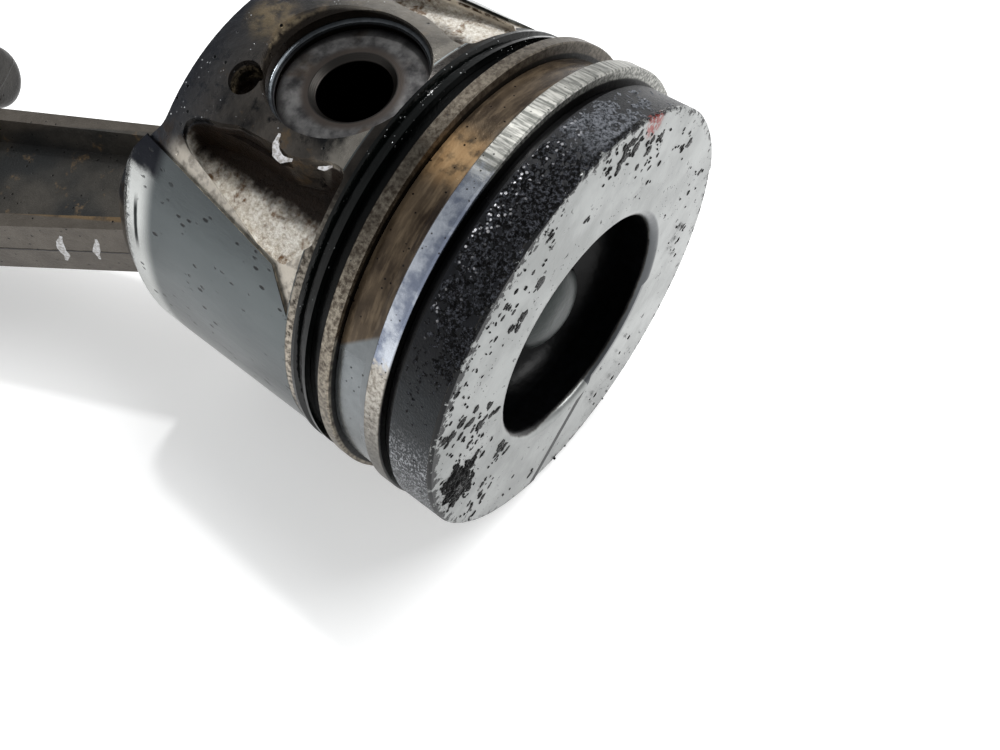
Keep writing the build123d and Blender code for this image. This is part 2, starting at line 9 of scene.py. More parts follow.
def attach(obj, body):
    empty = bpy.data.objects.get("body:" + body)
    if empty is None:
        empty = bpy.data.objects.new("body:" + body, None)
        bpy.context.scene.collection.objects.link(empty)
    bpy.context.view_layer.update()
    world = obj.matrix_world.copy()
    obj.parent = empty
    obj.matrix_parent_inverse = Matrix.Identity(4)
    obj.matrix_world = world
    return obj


# A used diesel piston on its connecting rod, lying on a bench. Lengths below
# are millimetres in the engine frame: origin at the gudgeon pin's centre,
# z up the cylinder to the crown, y along the pin, x the thrust direction.
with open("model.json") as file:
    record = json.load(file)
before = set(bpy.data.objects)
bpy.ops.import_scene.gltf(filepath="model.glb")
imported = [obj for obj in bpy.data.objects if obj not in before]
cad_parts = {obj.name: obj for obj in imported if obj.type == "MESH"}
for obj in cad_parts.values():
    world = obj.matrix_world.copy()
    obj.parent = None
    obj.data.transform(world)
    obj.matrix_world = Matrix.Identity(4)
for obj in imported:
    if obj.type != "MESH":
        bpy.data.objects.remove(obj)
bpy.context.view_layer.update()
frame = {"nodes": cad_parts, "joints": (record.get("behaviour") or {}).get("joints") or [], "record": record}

MM = 0.001
CROWN_R = 42.6
CROWN_Z = 44.8
BOWL_R = 24.4
LAND_BASE_Z = 36.1  # lower edge of the top land
LAND_HEIGHT = 8.6  # of the top land, near enough for its noise
SKIRT_TOP_Z = 13.4
VALVE_RELIEF = 20.7  # distance of the crown's milled step from the axis
SKIRT_END_Z = -31.9
BOSS_R = 42.35  # boss sides, set back from the skirt
FLANGE_X = 10.554  # rod flange's side face, on the pin's axis
FLANGE_TAPER = 0.05385  # change of the shank's half width per length
FLANGE_DRAFT = math.radians(2.5)
RELIEF_ANGLE = math.radians(31.8)  # direction of the crown's milled step, from the pin
PIN_RECESS_R = 15.0
NOTCH = (-10.3, 39.5, -13.2)  # clip removal notch in the front boss
TEA_STAIN = (1.0, 42.0, -17.0)
RED_SPOT = (20.6, 35.8, CROWN_Z)

joints = {joint["name"]: joint for joint in frame["joints"]}
mounts = {mount["name"]: mount for mount in frame["record"]["mounts"]}
pin_centre = Vector(joints["rod_swing"]["pos_m"])
pin_axis = Vector(joints["rod_swing"]["axis"]).normalized()
cylinder_axis = Vector(joints["top_ring_turn"]["axis"]).normalized()
rod_axis = (pin_centre - Vector(mounts["crankpin_bore"]["pos_m"])).normalized()


def frame_along(axis):
    """Frame at the pin's centre with y along the pin and z along the given axis."""
    made = Matrix((pin_axis.cross(axis), pin_axis, axis)).transposed().to_4x4()
    made.translation = pin_centre
    return made


engine = frame_along(cylinder_axis)
rod_frame = frame_along(rod_axis)


def at(x, y, z):
    """A point of the engine frame, in the row frame."""
    return engine @ (Vector((x, y, z)) * MM)


# ------------------------------------------------------------------ materials
def shade(red, green, blue):
    """Linear colour from a display colour of 0 to 255."""
    return tuple((value / 255) ** 2.2 for value in (red, green, blue)) + (1.0,)


class Paint:
    """One material, its nodes reading a point's place in a frame, in millimetres."""

    def __init__(self, name, place=engine):
        self.material = bpy.data.materials.new(name)
        self.material.use_nodes = True
        self.tree = self.material.node_tree
        self.shader = self.tree.nodes["Principled BSDF"]
        coordinates = self.node("ShaderNodeTexCoord")
        mapping = self.node("ShaderNodeMapping")
        mapping.vector_type = "TEXTURE"
        mapping.inputs["Location"].default_value = place.translation
        mapping.inputs["Rotation"].default_value = place.to_euler()
        mapping.inputs["Scale"].default_value = (MM, MM, MM)
        self.link(coordinates.outputs["Object"], mapping.inputs["Vector"])
        self.place = mapping.outputs["Vector"]
        axes = self.node("ShaderNodeSeparateXYZ")
        self.link(self.place, axes.inputs["Vector"])
        self.x, self.y, self.z = axes.outputs
        self.radius = self.length(self.x, self.y)
        # Degrees round the cylinder from the front pin boss, through the near thrust side
        turn = self.math("ARCTAN2", self.times(self.x, -1.0), self.y)
        self.turn = self.times(turn, math.degrees(1))

    def node(self, kind):
        return self.tree.nodes.new(kind)

    def link(self, value, socket):
        if isinstance(value, bpy.types.NodeSocket):
            self.tree.links.new(value, socket)
        else:
            socket.default_value = value

    def math(self, operation, first, second=0.0):
        made = self.node("ShaderNodeMath")
        made.operation = operation
        self.link(first, made.inputs[0])
        self.link(second, made.inputs[1])
        return made.outputs["Value"]

    def add(self, first, second):
        return self.math("ADD", first, second)

    def less(self, first, second):
        return self.math("SUBTRACT", first, second)

    def times(self, first, second):
        return self.math("MULTIPLY", first, second)

    def length(self, first, second):
        squares = self.add(self.times(first, first), self.times(second, second))
        return self.math("SQRT", squares)

    def step(self, value, start, end):
        """0 before start, 1 after end, smooth between them."""
        made = self.node("ShaderNodeMapRange")
        made.interpolation_type = "SMOOTHSTEP"
        rising = start < end
        self.link(value, made.inputs["Value"])
        made.inputs["From Min"].default_value = min(start, end)
        made.inputs["From Max"].default_value = max(start, end)
        made.inputs["To Min"].default_value = 0.0 if rising else 1.0
        made.inputs["To Max"].default_value = 1.0 if rising else 0.0
        return made.outputs["Result"]

    def band(self, value, low, high, soft):
        rise = self.step(value, low - soft, low + soft)
        fall = self.step(value, high + soft, high - soft)
        return self.both(rise, fall)

    def both(self, *masks):
        """Where every mask is 1."""
        made = masks[0]
        for mask in masks[1:]:
            made = self.times(made, mask)
        return made

    def flip(self, mask):
        return self.less(1.0, mask)

    def mix(self, factor, first, second):
        made = self.node("ShaderNodeMix")
        made.data_type = "RGBA"
        self.link(factor, made.inputs[0])
        self.link(first, made.inputs[6])
        self.link(second, made.inputs[7])
        return made.outputs[2]

    def level(self, factor, first, second):
        made = self.node("ShaderNodeMix")
        self.link(factor, made.inputs[0])
        self.link(first, made.inputs[2])
        self.link(second, made.inputs[3])
        return made.outputs[0]

    def moved(self, stretch, offset):
        made = self.node("ShaderNodeMapping")
        made.inputs["Location"].default_value = (offset, offset * 0.7, -offset)
        made.inputs["Scale"].default_value = stretch
        self.link(self.place, made.inputs["Vector"])
        return made.outputs["Vector"]

    def noise(self, size, detail=4.0, rough=0.55, stretch=(1, 1, 1), offset=0.0):
        """Fractal noise whose largest features are about size millimetres."""
        made = self.node("ShaderNodeTexNoise")
        self.link(self.moved(stretch, offset), made.inputs["Vector"])
        made.inputs["Scale"].default_value = 1 / size
        made.inputs["Detail"].default_value = detail
        made.inputs["Roughness"].default_value = rough
        return made.outputs[0]

    def cells(self, size, stretch=(1, 1, 1), offset=0.0):
        """Distance to scattered points about size millimetres apart."""
        made = self.node("ShaderNodeTexVoronoi")
        self.link(self.moved(stretch, offset), made.inputs["Vector"])
        made.inputs["Scale"].default_value = 1 / size
        return made.outputs["Distance"]

    def glints(self, size, reach, patch):
        """Painted glints: points of light about size apart, and noise for the patches they lie in."""
        points = self.step(self.cells(size, offset=51), reach, reach * 0.6)
        return points, self.noise(patch, 3, 0.6, offset=52)

    def near(self, point, inner, outer):
        """1 within inner of a point, fading to 0 at outer."""
        made = self.node("ShaderNodeVectorMath")
        made.operation = "DISTANCE"
        self.link(self.place, made.inputs[0])
        made.inputs[1].default_value = point
        return self.step(made.outputs["Value"], outer, inner)

    def done(self, colour, roughness, metallic, height=None, specular=0.5):
        self.link(colour, self.shader.inputs["Base Color"])
        self.link(roughness, self.shader.inputs["Roughness"])
        self.link(metallic, self.shader.inputs["Metallic"])
        self.shader.inputs["Specular IOR Level"].default_value = specular
        if height is not None:
            bump = self.node("ShaderNodeBump")
            bump.inputs["Strength"].default_value = 1.0
            bump.inputs["Distance"].default_value = MM
            self.link(height, bump.inputs["Height"])
            self.link(bump.outputs["Normal"], self.shader.inputs["Normal"])
        return self.material


def piston_alloy():
    """Used piston casting: each zone has its own wear, carbon or oil."""
    p = Paint("piston_alloy_worn")
    fine = p.noise(0.35, 3)
    medium = p.noise(2.2, 6, 0.6)
    broad = p.noise(11, 4, 0.55)
    bore = p.length(p.x, p.z)
    depth = p.less(41.6, p.radius)
    aside = p.math("ABSOLUTE", p.x)

    far = p.step(p.less(p.x, p.y), -4, 12)
    lip = p.add(p.z, p.times(medium, 0.6))
    lip = p.less(lip, p.level(far, 0.75, 0.0))
    in_bowl = p.both(
        p.step(p.radius, BOWL_R + 0.3, BOWL_R + 0.1),
        p.step(p.z, 24, 25),
        p.step(lip, CROWN_Z - 0.7, CROWN_Z - 1.1),
    )
    crown = p.math(
        "MAXIMUM",
        p.step(p.z, CROWN_Z - 0.75, CROWN_Z - 0.55),
        p.both(p.step(p.z, CROWN_Z - 2.5, CROWN_Z - 2.3), p.step(p.radius, 30, 29)),
    )
    crown = p.both(crown, p.flip(in_bowl))
    outside = p.step(p.radius, 40.6, 41.0)
    top_land = p.both(p.band(p.z, LAND_BASE_Z - 1, CROWN_Z - 0.65, 0.1), outside)
    lands = p.both(p.band(p.z, 12.9, LAND_BASE_Z - 1, 0.2), p.step(p.radius, 34, 35))
    boss = p.both(
        p.step(p.z, SKIRT_TOP_Z + 0.6, SKIRT_TOP_Z - 0.2),
        p.step(p.math("ABSOLUTE", p.y), 22, 24),
        p.step(p.radius, 42.75, 42.55),
    )
    skirt = p.both(p.step(p.z, 13.2, 12.8), p.step(p.radius, 42.3, 42.6))
    lead_in_reflection = p.both(
        p.step(p.z, SKIRT_END_Z + 11.4, SKIRT_END_Z + 7.2), p.step(p.radius, 40.9, 41.2)
    )

    # Bare casting inside: grey-brown with dried oil
    colour = p.mix(medium, shade(74, 68, 60), shade(120, 114, 104))
    colour = p.mix(p.step(broad, 0.45, 0.7), colour, shade(48, 40, 32))
    rough = p.level(medium, 0.35, 0.6)
    metal = p.level(broad, 0.5, 0.75)
    height = p.times(medium, 0.12)

    # Boss sides: oily dark bronze, warmer in patches, paler towards the rings
    patch = p.noise(5.5, 6, 0.66, offset=9)
    stain = p.mix(p.step(broad, 0.38, 0.62), shade(26, 25, 26), shade(84, 79, 74))
    stain = p.mix(p.step(patch, 0.54, 0.66), stain, shade(98, 84, 68))
    stain = p.mix(p.step(patch, 0.47, 0.36), stain, shade(16, 16, 19))
    stain = p.mix(p.step(p.z, -8, -26), stain, p.mix(medium, shade(40, 42, 48), shade(66, 68, 72)))
    pale = p.math("MAXIMUM", p.step(p.x, 4, 20), p.step(p.add(p.z, p.times(patch, 9)), 11, 15))
    stain = p.mix(pale, stain, p.mix(medium, shade(104, 100, 94), shade(168, 162, 152)))
    tea = p.both(p.near(TEA_STAIN, 2.0, 6.0), p.step(medium, 0.3, 0.6))
    stain = p.mix(tea, stain, shade(126, 112, 90))
    # Painted glints: white points of light in patches on the lower boss
    boss_glint, field = p.glints(0.8, 0.2, 4.0)
    boss_glint = p.both(boss_glint, p.step(field, 0.56, 0.64), p.step(p.z, 4, -6))
    stain = p.mix(boss_glint, stain, shade(226, 228, 230))
    pits = p.step(p.cells(2.4, offset=5), 0.16, 0.1)
    pits = p.both(pits, p.step(p.noise(7, 2, offset=15), 0.48, 0.55))
    stain = p.mix(pits, stain, shade(10, 10, 12))
    colour = p.mix(boss, colour, stain)
    rough = p.level(boss, rough, p.level(patch, 0.16, 0.42))
    metal = p.level(boss, metal, 0.85)
    boss_height = p.add(p.times(medium, 0.22), p.times(fine, 0.03))
    boss_height = p.less(boss_height, p.times(pits, 0.16))
    height = p.level(boss, height, boss_height)

    # Cast pockets: pale and granular on the floor, oily brown with painted shade on the deep upper walls
    in_pocket = p.both(boss, p.step(depth, 0.0, 0.7), p.step(bore, 17.2, 17.6))
    rim = p.both(boss, p.band(depth, -0.75, -0.2, 0.1), p.step(aside, 21, 23), p.step(bore, 20, 22))
    grit = p.noise(0.75, 6, 0.72, offset=3)
    cast = p.mix(p.step(grit, 0.3, 0.7), shade(186, 174, 156), shade(255, 252, 244))
    cast = p.mix(p.step(p.noise(2.6, 5, 0.65, offset=4), 0.5, 0.68), cast, shade(112, 84, 56))
    # Painted shade: the deep upper walls are darkened to near black, over oily brown
    wall = p.add(aside, p.times(medium, 4.0))
    cast = p.mix(p.step(wall, 26.0, 22.5), cast, p.mix(medium, shade(8, 6, 5), shade(50, 38, 28)))
    colour = p.mix(in_pocket, colour, cast)
    rough = p.level(in_pocket, rough, p.level(grit, 0.2, 0.4))
    metal = p.level(in_pocket, metal, 0.2)
    height = p.level(in_pocket, height, p.times(grit, 0.5))
    band = p.both(boss, p.step(aside, 22.5, 25.0), p.flip(in_pocket), p.step(p.z, -22, -17))
    colour = p.mix(band, colour, p.mix(medium, shade(180, 170, 154), shade(230, 224, 214)))
    rough = p.level(band, rough, 0.4)
    colour = p.mix(p.both(rim, p.step(medium, 0.45, 0.6)), colour, shade(60, 48, 36))

    # Pin bore, clip groove and notch: dark and oily
    in_bore = p.step(bore, PIN_RECESS_R, PIN_RECESS_R - 0.4)
    in_bore = p.both(in_bore, p.step(p.z, 20, 19), p.step(depth, -0.6, 0.1))
    notch = p.both(p.near(NOTCH, 3.2, 3.7), p.step(depth, 0.0, 0.6))
    dark = p.math("MAXIMUM", in_bore, notch)
    mouth = p.both(p.step(bore, 13.9, 14.3), p.step(medium, 0.4, 0.62))
    colour = p.mix(dark, colour, p.mix(medium, shade(12, 11, 11), shade(44, 38, 32)))
    colour = p.mix(p.both(dark, mouth), colour, shade(128, 116, 96))
    rough = p.level(dark, rough, 0.2)
    metal = p.level(dark, metal, 0.6)

    # Skirt: smooth blue-grey coating with dark specks, worn at its lead-in, where a pale band is a painted
    # reflection of the floor
    lines = p.noise(0.22, 2, 0.5, stretch=(0.02, 0.02, 1))
    cloud = p.noise(14, 5, 0.55, stretch=(1, 1, 0.4))
    coat = p.mix(cloud, shade(62, 67, 69), shade(106, 111, 112))
    coat = p.mix(p.step(p.turn, 74, 96), coat, shade(70, 74, 76))
    speck = p.step(p.cells(1.5, stretch=(1, 1, 0.5), offset=2), 0.26, 0.14)
    speck = p.both(speck, p.step(p.noise(5, 4, 0.6, offset=7), 0.49, 0.56))
    dent = p.step(p.noise(1.6, 4, 0.6, stretch=(1, 1, 0.4), offset=17), 0.71, 0.73)
    speck = p.math("MAXIMUM", speck, dent)
    worn = p.step(p.noise(0.8, 4, 0.7, offset=1), 0.5, 0.58)
    worn = p.both(worn, p.step(p.z, SKIRT_END_Z + 5.2, SKIRT_END_Z + 3.8))
    # Painted reflection: the lead-in band is made pale where it mirrors the bright floor
    coat = p.mix(lead_in_reflection, coat, shade(200, 202, 200))
    coat = p.mix(worn, coat, shade(62, 64, 66))
    slit = p.both(p.band(p.z, -25.6, -24.7, 0.2), p.band(p.turn, 52, 64, 2.5))
    coat = p.mix(slit, coat, shade(20, 26, 25))
    corner = p.step(p.add(aside, p.times(medium, 2.0)), 31.6, 30.2)
    corner = p.both(corner, p.step(p.z, -19, -22))
    coat = p.mix(corner, coat, p.mix(medium, shade(22, 24, 30), shade(40, 42, 48)))
    coat = p.mix(speck, coat, shade(26, 28, 30))
    colour = p.mix(skirt, colour, coat)
    rough = p.level(skirt, rough, p.level(cloud, 0.2, 0.3))
    metal = p.level(skirt, metal, p.level(speck, 0.92, 0.2))
    skirt_height = p.add(p.times(lines, 0.006), p.times(cloud, 0.25))
    skirt_height = p.less(skirt_height, p.times(worn, 0.05))
    skirt_height = p.less(skirt_height, p.times(speck, 0.06))
    height = p.level(skirt, height, skirt_height)

    # Lands between the grooves: brown lacquer, amber near the front boss; the grooves and the band below z
    # 22 are near black, carbon with painted shade
    lacquer = lacquered(p, medium, broad)
    # Carbon with painted shade: near black below z 22
    lacquer = p.mix(p.step(p.z, 22.2, 21.4), lacquer, shade(8, 10, 10))
    grain = p.step(p.noise(0.9, 5, 0.7, offset=8), 0.36, 0.64)
    beige = p.mix(grain, shade(58, 52, 46), shade(164, 156, 144))
    sooty = p.mix(medium, shade(16, 16, 16), shade(60, 56, 52))
    beige = p.mix(p.step(p.turn, 44, 20), beige, sooty)
    lacquer = p.mix(p.step(p.z, 15.0, 14.7), lacquer, beige)
    # Carbon with painted shade: the groove floors are near black
    groove = p.step(p.radius, 41.3, 40.8)
    lacquer = p.mix(groove, lacquer, shade(6, 6, 6))
    colour = p.mix(lands, colour, lacquer)
    rough = p.level(lands, rough, p.level(medium, 0.12, 0.3))
    metal = p.level(lands, metal, p.level(p.step(p.turn, 50, 56), 0.45, 0.9))
    height = p.level(lands, height, p.times(fine, 0.03))

    # Top land: carbon, smoother and scratched towards the near thrust side
    soot = p.mix(medium, shade(5, 6, 8), shade(26, 28, 33))
    slate = p.mix(medium, shade(14, 17, 20), shade(40, 45, 49))
    soot = p.mix(p.step(p.add(p.turn, p.times(broad, 20)), 50, 66), soot, slate)
    scratch = p.noise(0.45, 3, 0.6, stretch=(0.3, 0.9, 1.5), offset=12)
    scratched = p.both(p.step(p.turn, 60, 74), p.step(scratch, 0.5, 0.6))
    soot = p.mix(scratched, soot, shade(158, 160, 164))
    colour = p.mix(top_land, colour, soot)
    rough = p.level(top_land, rough, p.level(fine, 0.3, 0.5))
    metal = p.level(top_land, metal, p.level(scratched, 0.15, 0.85))
    land_height = p.times(p.add(fine, medium), 0.12)
    height = p.level(top_land, height, land_height)

    # Crown: satin grey with dark pits; carbon creeps over its edge; a painted shade line runs along the
    # milled step
    satin = p.mix(p.step(broad, 0.35, 0.65), shade(126, 128, 127), shade(146, 148, 147))
    pit_field = p.step(p.noise(9, 3, 0.6, offset=21), 0.5, 0.6)
    pinhole = p.both(p.step(p.cells(0.9, offset=22), 0.18, 0.1), pit_field)
    blot = p.step(p.noise(2.2, 6, 0.68, offset=23), 0.64, 0.67)
    creep = p.times(p.less(p.noise(1.9, 6, 0.7, offset=24), 0.5), 14.0)
    creep = p.add(creep, p.level(p.band(p.turn, -5, 92, 14), 0.0, 1.4))
    edge = p.step(p.add(creep, p.radius), CROWN_R - 0.1, CROWN_R + 0.1)
    # Painted shade: a dark line along the milled step, with some grime on its edge
    relief_step_shade = p.less(p.times(p.x, math.sin(RELIEF_ANGLE)), p.times(p.y, math.cos(RELIEF_ANGLE)))
    relief_step_shade = p.both(p.band(relief_step_shade, VALVE_RELIEF - 2.0, VALVE_RELIEF + 0.6, 0.25), p.step(p.y, -18, -26))
    # Real stains and the painted step shade share one dark colour
    stains_and_step_shade = p.math("MAXIMUM", p.math("MAXIMUM", pinhole, blot), p.math("MAXIMUM", edge, relief_step_shade))
    stains_and_step_shade = p.both(stains_and_step_shade, p.step(p.radius, 24.6, 25.0))
    satin = p.mix(stains_and_step_shade, satin, shade(20, 21, 23))
    rolled = p.both(p.step(p.radius, 24.5, 23.9), p.step(p.turn, -40, -70))
    satin = p.mix(rolled, satin, shade(86, 88, 90))
    red = p.both(p.near(RED_SPOT, 1.6, 3.2), p.step(p.noise(0.9, 4, 0.7, offset=33), 0.42, 0.52))
    satin = p.mix(red, satin, shade(118, 40, 34))
    colour = p.mix(crown, colour, satin)
    rough = p.level(crown, rough, p.level(stains_and_step_shade, 0.3, 0.42))
    metal = p.level(crown, metal, p.level(stains_and_step_shade, 0.92, 0.0))
    crown_height = p.add(p.times(fine, 0.008), p.times(broad, 0.2))
    crown_height = p.less(crown_height, p.times(stains_and_step_shade, 0.1))
    height = p.level(crown, height, crown_height)

    # Bowl: glossy black, the dome's top greener and paler
    dome = p.both(p.step(p.radius, 9.8, 7.2), p.step(p.z, CROWN_Z - 8.5, CROWN_Z - 6.5))
    oily = p.mix(p.step(medium, 0.4, 0.7), shade(3, 3, 5), shade(12, 13, 15))
    oily = p.mix(dome, oily, p.mix(broad, shade(22, 26, 26), shade(58, 63, 62)))
    colour = p.mix(in_bowl, colour, oily)
    rough = p.level(in_bowl, rough, 0.34)
    metal = p.level(in_bowl, metal, p.level(dome, 0.1, 0.3))
    height = p.level(in_bowl, height, p.times(p.noise(3.5, 3, 0.5, offset=31), 0.2))
    return p.done(colour, rough, metal, height, specular=0.25)


def lacquered(p, medium, broad):
    """Brown lacquer of the second land, with a painted mirror-like grey reflection round the near side."""
    streak = p.noise(1.2, 4, 0.6, stretch=(0.25, 0.25, 1.4), offset=41)
    lacquer = p.mix(p.step(broad, 0.32, 0.68), shade(40, 32, 26), shade(88, 76, 62))
    lacquer = p.mix(p.times(p.step(streak, 0.4, 0.8), 0.6), lacquer, shade(128, 112, 92))
    amber = p.both(p.band(p.turn, 1, 11, 4.0), p.step(medium, 0.3, 0.56))
    lacquer = p.mix(amber, lacquer, p.mix(streak, shade(140, 104, 68), shade(204, 172, 130)))
    # Painted reflection: grey where the lacquer mirrors its surroundings, beyond a curved edge
    curve = p.add(p.turn, p.times(p.z, 1.1))
    painted_reflection = p.step(curve, 78.5, 80.0)
    lacquer = p.mix(painted_reflection, lacquer, p.mix(medium, shade(96, 100, 102), shade(134, 138, 140)))
    return p.mix(p.step(p.cells(1.7, offset=6), 0.13, 0.08), lacquer, shade(14, 10, 8))


def carbon():
    """Baked carbon crust, black and glossy, with painted white glints at its grain."""
    p = Paint("carbon_crust")
    grain = p.noise(0.55, 5, 0.75)
    lump = p.noise(1.8, 4, 0.6, offset=3)
    colour = p.mix(p.step(grain, 0.46, 0.66), shade(3, 3, 4), shade(78, 80, 86))
    far = p.both(p.step(p.turn, -4, -16), p.step(p.z, 44.2, 43.6))
    ashen = p.mix(p.step(grain, 0.36, 0.62), shade(30, 32, 35), shade(124, 127, 133))
    colour = p.mix(far, colour, ashen)
    colour = p.mix(p.step(p.z, CROWN_Z - 0.1, CROWN_Z + 0.02), colour, shade(7, 7, 8))
    # Painted glints: white metallic specks low on the land, where the light catches it
    glint, field = p.glints(0.9, 0.3, 4.0)
    low = p.step(p.add(p.z, p.times(lump, 3.0)), 43.0, 38.5)
    lit = p.both(p.band(p.turn, -14, 34, 10), p.step(field, 0.4, 0.6), low)
    glint = p.both(glint, lit)
    colour = p.mix(glint, colour, shade(250, 250, 255))
    height = p.add(p.times(grain, 0.5), p.times(lump, 0.3))
    return p.done(colour, p.level(grain, 0.12, 0.3), p.level(glint, 0.1, 1.0), height, specular=0.1)


def ring_face():
    """Compression rings: chromed and bright, mottled beige where it has worn."""
    p = Paint("ring_face_worn")
    mottle = p.noise(0.9, 6, 0.72)
    broad = p.noise(6, 4, 0.6, offset=2)
    streak = p.noise(0.6, 3, 0.6, stretch=(1, 1, 0.12), offset=4)
    bright = p.mix(p.step(broad, 0.4, 0.6), shade(130, 138, 156), shade(204, 210, 220))
    beige = p.mix(p.step(mottle, 0.3, 0.66), shade(104, 96, 86), shade(200, 195, 186))
    wander = p.add(p.turn, p.times(mottle, 10.0))
    dusty = p.mix(p.step(streak, 0.36, 0.66), shade(100, 101, 97), shade(178, 177, 171))
    colour = p.mix(p.step(wander, 54, 57), bright, beige)
    colour = p.mix(p.step(wander, 17, 9), colour, dusty)
    # The second ring is darker towards the front boss
    front_darkening = p.step(p.add(p.turn, p.times(broad, 40)), 70, 30)
    second = p.mix(p.step(mottle, 0.34, 0.68), shade(70, 62, 54), shade(158, 150, 136))
    second = p.mix(p.times(front_darkening, 0.6), second, shade(52, 46, 40))
    colour = p.mix(p.step(p.z, 28, 27), colour, second)
    speck = p.step(p.cells(1.2, offset=5), 0.15, 0.09)
    colour = p.mix(speck, colour, shade(26, 22, 18))
    # Carbon with painted shade: the ring's flanks inside the groove are near black
    colour = p.mix(p.step(p.radius, 43.2, 42.8), colour, shade(14, 13, 12))
    rough = p.level(p.step(wander, 54, 57), p.level(mottle, 0.12, 0.22), p.level(mottle, 0.28, 0.5))
    rough = p.level(p.step(wander, 15, 11), rough, 0.44)
    height = p.add(p.times(mottle, 0.05), p.times(streak, 0.02))
    return p.done(colour, rough, p.level(speck, 0.9, 0.2), height)


def oily_black():
    """Oil ring steel under a black oil film, with painted white glints on part of it."""
    p = Paint("oil_ring_wet")
    film = p.noise(2.5, 4, 0.55, stretch=(1, 1, 2))
    # Painted glints: white points of light on part of the ring
    ring_glint, field = p.glints(0.9, 0.17, 3.0)
    ring_glint = p.both(ring_glint, p.step(field, 0.5, 0.6), p.band(p.turn, -40, 50, 10))
    colour = p.mix(film, shade(2, 4, 4), shade(14, 18, 17))
    colour = p.mix(ring_glint, colour, shade(210, 214, 214))
    height = p.add(p.times(film, 0.1), p.times(ring_glint, 0.08))
    return p.done(colour, p.level(film, 0.06, 0.18), p.level(ring_glint, 0.2, 1.0), height, specular=0.35)


def carrier():
    """Cast-in iron carrier, black with soot above and lacquered below the ring."""
    p = Paint("carrier_iron_worn")
    medium = p.noise(2.2, 6, 0.6)
    broad = p.noise(11, 4, 0.55)
    soot = p.mix(medium, shade(4, 4, 4), shade(16, 16, 18))
    below = p.both(p.step(p.z, 31.2, 30.5), p.step(p.radius, 41.2, 41.8))
    colour = p.mix(below, soot, lacquered(p, medium, broad))
    return p.done(colour, p.level(medium, 0.14, 0.34), 0.5, p.times(medium, 0.05))


def pin_steel():
    """Gudgeon pin: turned end faces tinted brown, black inside its bore."""
    p = Paint("pin_steel_tinted")
    bore = p.length(p.x, p.z)
    medium = p.noise(4, 6, 0.62)
    turned = p.math("SINE", p.times(bore, 26.0))
    tint = p.mix(p.step(medium, 0.3, 0.7), shade(58, 57, 58), shade(122, 121, 120))
    heat = p.step(p.noise(7, 3, 0.5, offset=6), 0.5, 0.7)
    tint = p.mix(p.times(heat, 0.7), tint, shade(98, 84, 70))
    tint = p.mix(p.step(bore, 9.6, 8.0), tint, shade(74, 68, 64))
    tint = p.mix(p.step(bore, 11.0, 13.2), tint, shade(40, 38, 38))
    tint = p.mix(p.band(bore, 6.6, 7.6, 0.15), tint, shade(50, 48, 46))
    tint = p.mix(p.step(bore, 6.7, 6.5), tint, shade(4, 4, 4))
    height = p.add(p.times(turned, 0.004), p.times(medium, 0.02))
    return p.done(tint, p.level(medium, 0.24, 0.4), 0.85, height)


def wire():
    """Spring wire under a thin film of oil."""
    p = Paint("clip_wire_oily")
    film = p.noise(1.2, 4, 0.6)
    colour = p.mix(film, shade(20, 21, 22), shade(84, 88, 92))
    return p.done(colour, p.level(film, 0.1, 0.26), 0.9, p.times(film, 0.03))


def forged_steel():
    """Forged rod: scaly grey-brown, oily, with tan stains on its web."""
    p = Paint("forged_steel_scaly", rod_frame)
    scale = p.noise(0.7, 6, 0.68)
    medium = p.noise(4.5, 6, 0.62, offset=2)
    broad = p.noise(18, 3, 0.5, offset=4)
    aside = p.math("ABSOLUTE", p.x)
    colour = p.mix(medium, shade(48, 46, 43), shade(98, 94, 88))
    colour = p.mix(p.step(broad, 0.4, 0.65), colour, shade(54, 55, 55))
    tan = p.both(p.step(p.noise(6, 5, 0.65, offset=6), 0.58, 0.68), p.step(scale, 0.36, 0.6))
    colour = p.mix(tan, colour, shade(118, 100, 78))
    flange = p.both(p.step(p.x, -8.8, -10.2), p.step(p.y, 6.6, 7.4))
    rust = p.mix(medium, shade(86, 64, 44), shade(134, 116, 88))
    colour = p.mix(p.both(flange, p.step(medium, 0.3, 0.5)), colour, rust)
    side = p.both(p.step(aside, 11.0, 11.6), p.step(p.z, -22, -26))
    flash = p.both(side, p.band(p.add(p.y, p.times(medium, 0.8)), 0.1, 0.6, 0.15))
    colour = p.mix(side, colour, p.mix(medium, shade(66, 60, 54), shade(112, 106, 98)))
    colour = p.mix(flash, colour, shade(30, 26, 24))
    big_end = p.mix(medium, shade(30, 30, 31), shade(66, 64, 61))
    colour = p.mix(p.step(p.z, -96, -104), colour, big_end)
    pit = p.step(p.cells(2.1, offset=7), 0.15, 0.08)
    colour = p.mix(pit, colour, shade(20, 18, 16))
    height = p.add(p.times(scale, 0.12), p.times(medium, 0.16))
    height = p.less(height, p.times(pit, 0.08))
    height = p.add(height, p.times(flash, 0.15))
    return p.done(colour, p.level(scale, 0.28, 0.5), 0.7, height)


def bolt_steel():
    """Blackened bolts, rubbed bright on their corners."""
    p = Paint("bolt_steel_black", rod_frame)
    scale = p.noise(0.6, 4, 0.6)
    rub = p.step(p.noise(2.2, 4, 0.6, offset=3), 0.55, 0.7)
    colour = p.mix(rub, shade(30, 30, 32), shade(84, 82, 80))
    return p.done(colour, p.level(scale, 0.3, 0.48), 0.8, p.times(scale, 0.05))


def plain_metal(name, dark, light, size, low, high):
    """Smooth plain-bearing metal, lightly stained."""
    p = Paint(name, rod_frame)
    film = p.noise(size, 5, 0.6)
    lines = p.noise(0.3, 2, 0.5, stretch=(1, 0.03, 1), offset=2)
    colour = p.mix(film, dark, light)
    height = p.times(p.add(lines, film), 0.012)
    return p.done(colour, p.level(film, low, high), 0.9, height)


